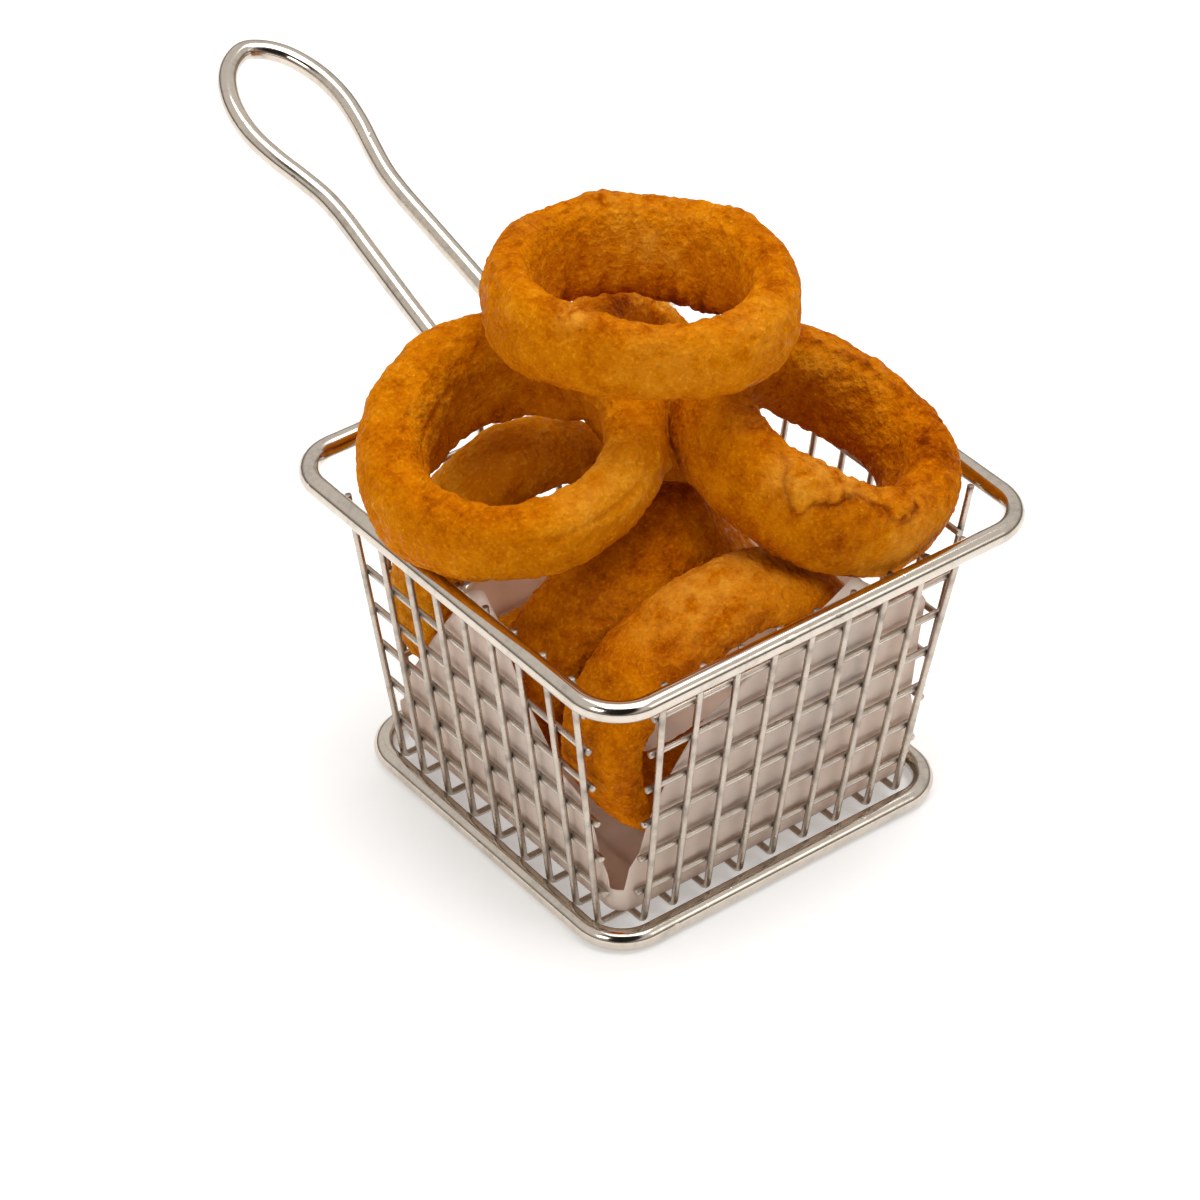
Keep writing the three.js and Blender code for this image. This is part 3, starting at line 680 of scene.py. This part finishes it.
def ring_at(ring, theta, phi):
    """Points of the smooth ring, in its own frame."""
    seed = ring["seed"]
    middle = ring["radius"] - ring["band"] / 2
    oval, thick, swell = (ring.get(k, (0, 0)) for k in ("oval", "thick", "swell"))
    centre = (middle + UNEVEN * waves(theta, seed, 2, 4)) * (1 + oval[0] * np.cos(2 * (theta - oval[1])))
    half = ring["band"] / 2 * (1 + thick[0] * np.cos(theta - thick[1])
                               + 0.1 * UNEVEN * waves(theta, seed + 11, 2, 5))
    high = ring["tall"] / 2 * (1 + swell[0] * np.cos(theta - swell[1])
                               + 0.1 * UNEVEN * waves(theta, seed + 23, 2, 4))
    rho = centre + half * signed_power(np.cos(phi), ROUNDNESS)
    lift = high * signed_power(np.sin(phi), ROUNDNESS) + UNEVEN * waves(theta, seed + 37, 2, 3)
    return np.stack([rho * np.cos(theta), rho * np.sin(theta), lift], -1)


def ring_surface(ring):
    theta, phi = np.meshgrid(np.arange(AROUND) * 2 * np.pi / AROUND,
                             np.arange(SECTION) * 2 * np.pi / SECTION, indexing="ij")
    return theta, phi, ring_at(ring, theta, phi)


def ring_basis(ring):
    z = unit(np.array(ring["axis"], float))
    x = unit(np.array([1.0, 0, 0]) - z[0] * z)
    return np.stack([x, np.cross(z, x), z], 1)


def build_onion_ring(key, ring, material):
    theta, phi, local = ring_surface(ring)
    du = np.roll(local, -1, 0) - np.roll(local, 1, 0)
    dv = np.roll(local, -1, 1) - np.roll(local, 1, 1)
    normal = unit(np.cross(du, dv)).reshape(-1, 3)
    p = local.reshape(-1, 3)
    seed = ring["seed"] * 31
    # Lumps, blisters and grains of batter.
    lumps = noise(p, 9.0, seed) * 0.34 + noise(p * [1, 1, 0.7], 4.6, seed + 1) * 0.2
    blisters = noise(p, 2.2, seed + 2)
    grains = noise(p, 1.1, seed + 3) * 0.15 + noise(p, 0.7, seed + 4) * 0.09
    # Crumbly crests: the two edges of the band are rougher and browner, most of all on the inside.
    crest = (np.abs(np.sin(phi)) ** 5).ravel()
    inner = smoothstep(-np.cos(phi), -0.2, 0.5).ravel()
    ridges = 1 - np.abs(noise(p * [1, 1, 1.3], 2.7, seed + 5) + 0.4 * noise(p, 1.3, seed + 6)) * 2.2
    crumbs = crest * (0.5 + 0.5 * inner) * np.clip(ridges, -0.6, 1)
    # Streaks along the walls of the band, deepest inside.
    streaks = noise(p * [1, 1, 0.2], 1.6, seed + 12) * np.cos(phi.ravel()) ** 2 * (0.35 + 0.65 * inner)
    relief = (lumps + RELIEF["blisters"] * blisters + RELIEF["streaks"] * streaks + grains
              + RELIEF["crumbs"] * crumbs)
    tone = (TONE["base"] + TONE["drift"] * noise(p, 8.0, seed + 7) - TONE["crest"] * crest
            - TONE["crumbs"] * crumbs + TONE["blisters"] * blisters + TONE["lumps"] * lumps
            + TONE["streaks"] * streaks)
    rough = 1 + 0.15 * blisters
    pale = np.zeros(len(p))
    # Spots add relief, paleness and tone; much of the tone is painted light and shade.
    for at_theta, at_phi, size, height, shade, light in SPOTS.get(key, ()):
        centre = ring_point(ring, at_theta, at_phi)
        near = np.exp(-((p - centre) ** 2).sum(1) / (2 * size ** 2))
        relief = relief + height * near * rough
        tone = tone + shade * near
        pale = pale + light * near
    for start, end, at_phi, size, height, shade in LIPS.get(key, ()):
        along = smoothstep(turned(theta, start), 0, 0.3) * smoothstep(turned(end, theta), 0, 0.3)
        across = turned(phi, at_phi) * (ring["band"] + ring["tall"]) / 4
        near = (along * np.exp(-(across / size) ** 2 / 2)).ravel()
        relief = relief + height * near * rough
        tone = tone + shade * near * np.clip(0.8 + 0.9 * noise(p, 2.2, seed + 13), 0, 1.6)
    for corners, height, shade in FLAKES.get(key, ()):
        inside = flake(ring, corners, theta.ravel(), phi.ravel(),
                       1.1 * noise(p, 3.0, seed + 9) + 0.6 * noise(p, 1.3, seed + 10))
        # The flake stands proud at its lower edge and runs into the crest.
        low_edge = smoothstep(phi.ravel(), 1.55, 1.15) * (phi.ravel() < np.pi)
        relief = relief + height * low_edge * smoothstep(inside, -0.15, 0.5)
        shadow = 0.35 * low_edge * np.exp(-((inside + 0.4) / 0.7) ** 2)
        tone = tone + shade * smoothstep(inside, 0.0, 0.5) - shadow
    world = (p + normal * relief[:, None]) @ ring_basis(ring).T + np.array(ring["at"])
    # The crust flattens where it rests on the liner.
    for axis, side in ((1, FRONT_BACK), (0, LEFT_RIGHT)):
        wall = side["foot"] + side["lean"] * world[:, 2] / RISE - LINER_REACH
        wall[world[:, 2] > LINER_TOP] = np.inf
        world[:, axis] = np.clip(world[:, axis], -wall, wall)
    i = np.arange(AROUND)[:, None]
    j = np.arange(SECTION)[None, :]
    here, following = i * SECTION, ((i + 1) % AROUND) * SECTION
    beside = (j + 1) % SECTION
    quads = np.stack([here + j, following + j, following + beside, here + beside], -1).reshape(-1, 4)
    return piece("fried_ring_" + key, metres(world), [quads], material, ["onion_ring_" + key],
                 {"tone": tone, "pale": np.clip(pale, 0, 1)})


def ring_point(ring, theta, phi):
    """The point of the smooth ring at two angles: round the ring, and round its section."""
    return ring_at(ring, np.array([[theta]], float), np.array([[phi]], float))[0, 0]


def flake(ring, corners, theta, phi, wobble):
    """Distance inside the edge of a patch of crust, in millimetres, negative outside it."""
    round_ring = ring["radius"] - ring["band"] / 2
    round_section = (ring["band"] + ring["tall"]) / 4
    at = np.array(corners, float)
    middle = at.mean(0)
    x = turned(theta, middle[0]) * round_ring
    y = turned(phi, middle[1]) * round_section
    px = (at[:, 0] - middle[0]) * round_ring
    py = (at[:, 1] - middle[1]) * round_section
    side = np.full(len(x), np.inf)
    area = (px * np.roll(py, -1) - np.roll(px, -1) * py).sum()
    for k in range(len(at)):
        ax, ay, bx, by = px[k], py[k], px[(k + 1) % len(at)], py[(k + 1) % len(at)]
        length = math.hypot(bx - ax, by - ay)
        side = np.minimum(side, ((bx - ax) * (y - ay) - (by - ay) * (x - ax)) / length * np.sign(area))
    return side + wobble


# ---------------------------------------------------------------- stage, light and camera
def build_stage():
    mesh = bpy.data.meshes.new("table")
    s, z = TABLE_HALF, TABLE_Z
    mesh.from_pydata([(-s, -s, z), (s, -s, z), (s, s, z), (-s, s, z)], [], [(0, 1, 2, 3)])
    floor = bpy.data.objects.new("table", mesh)
    bpy.context.scene.collection.objects.link(floor)
    mat, _, shader, _ = nodes_of("table_white")
    shader.inputs["Base Color"].default_value = (0.9, 0.9, 0.9, 1)
    shader.inputs["Roughness"].default_value = 0.8
    shader.inputs["Emission Color"].default_value = (1, 1, 1, 1)
    shader.inputs["Emission Strength"].default_value = TABLE_GLOW
    mesh.materials.append(mat)


def area_light(name, at, target, size, power):
    data = bpy.data.lights.new(name, "AREA")
    data.shape = "RECTANGLE"
    data.size = data.size_y = size
    data.energy = power
    obj = bpy.data.objects.new(name, data)
    obj.location = at
    obj.rotation_euler = (Vector(target) - Vector(at)).to_track_quat("-Z", "Y").to_euler()
    bpy.context.scene.collection.objects.link(obj)


def build_light():
    world = bpy.data.worlds.new("studio")
    world.use_nodes = True
    tree = world.node_tree
    background = tree.nodes["Background"]
    # A bright ceiling over darker walls, so that the wires show light and dark bands.
    coord = tree.nodes.new("ShaderNodeTexCoord")
    split = tree.nodes.new("ShaderNodeSeparateXYZ")
    tree.links.new(coord.outputs["Generated"], split.inputs["Vector"])
    sky = ramp_node(tree, split.outputs["Z"], [(0.0, (0.12, 0.10, 0.09)), (0.16, (0.34, 0.31, 0.28)),
                                               (0.40, (0.88, 0.86, 0.83)), (1.0, (0.86, 0.85, 0.83))])
    # A dark patch where the viewer stands, which the bends of the rim reflect.
    facing = tree.nodes.new("ShaderNodeVectorMath")
    facing.operation = "DOT_PRODUCT"
    facing.inputs[1].default_value = VIEWER
    tree.links.new(coord.outputs["Generated"], facing.inputs[0])
    dim = ramp_node(tree, facing.outputs["Value"], [(0.79, (1, 1, 1)), (0.87, (0.02, 0.02, 0.02))])
    lit = tree.nodes.new("ShaderNodeMixRGB")
    lit.blend_type = "MULTIPLY"
    lit.inputs["Fac"].default_value = 1
    tree.links.new(sky.outputs["Color"], lit.inputs["Color1"])
    tree.links.new(dim.outputs["Color"], lit.inputs["Color2"])
    tree.links.new(lit.outputs["Color"], background.inputs["Color"])
    background.inputs["Strength"].default_value = WORLD_STRENGTH
    bpy.context.scene.world = world
    for name, (at, size, power) in LIGHTS.items():
        area_light(name, at, tuple(metres(LIT_POINT)), size, power)


def build_camera():
    az, el, roll = CAMERA["azimuth"], CAMERA["elevation"], CAMERA["roll"]
    back = np.array([math.sin(az) * math.cos(el), -math.cos(az) * math.cos(el), math.sin(el)])
    right = np.array([math.cos(az), math.sin(az), 0.0])
    up = np.cross(back, right)
    tilted = right * math.cos(roll) + up * math.sin(roll)
    upright = -right * math.sin(roll) + up * math.cos(roll)
    data = bpy.data.cameras.new("camera")
    data.sensor_width = SENSOR_WIDTH
    data.lens = CAMERA["focal"] * SENSOR_WIDTH / FRAME_PIXELS
    data.clip_start, data.clip_end = 0.05, 20
    obj = bpy.data.objects.new("camera", data)
    place = metres(CAMERA["place"])
    turn = np.stack([tilted, upright, back], 1)
    obj.matrix_world = Matrix([[*row, place[i]] for i, row in enumerate(turn)] + [[0, 0, 0, 1]])
    bpy.context.scene.collection.objects.link(obj)
    bpy.context.scene.camera = obj


thick_wire = steel("polished_wire", (0.64, 0.57, 0.49), 0.12, 380)
thin_wire = steel("drawn_wire", (0.54, 0.47, 0.40), 0.3, 700)
build_mesh(thin_wire)
build_ring_wire("rim_wire", "rim", RIM, thick_wire)
build_ring_wire("base_wire", "base_ring", BASE, thick_wire)
build_handle(thick_wire)
build_liner(liner_paper())
for key, ring in RINGS.items():
    build_onion_ring(key, ring, crust("fried_batter_" + key, RING_PAINTED_LIGHT[key]))
build_stage()
build_light()
build_camera()
bpy.context.scene.view_settings.view_transform = "Standard"
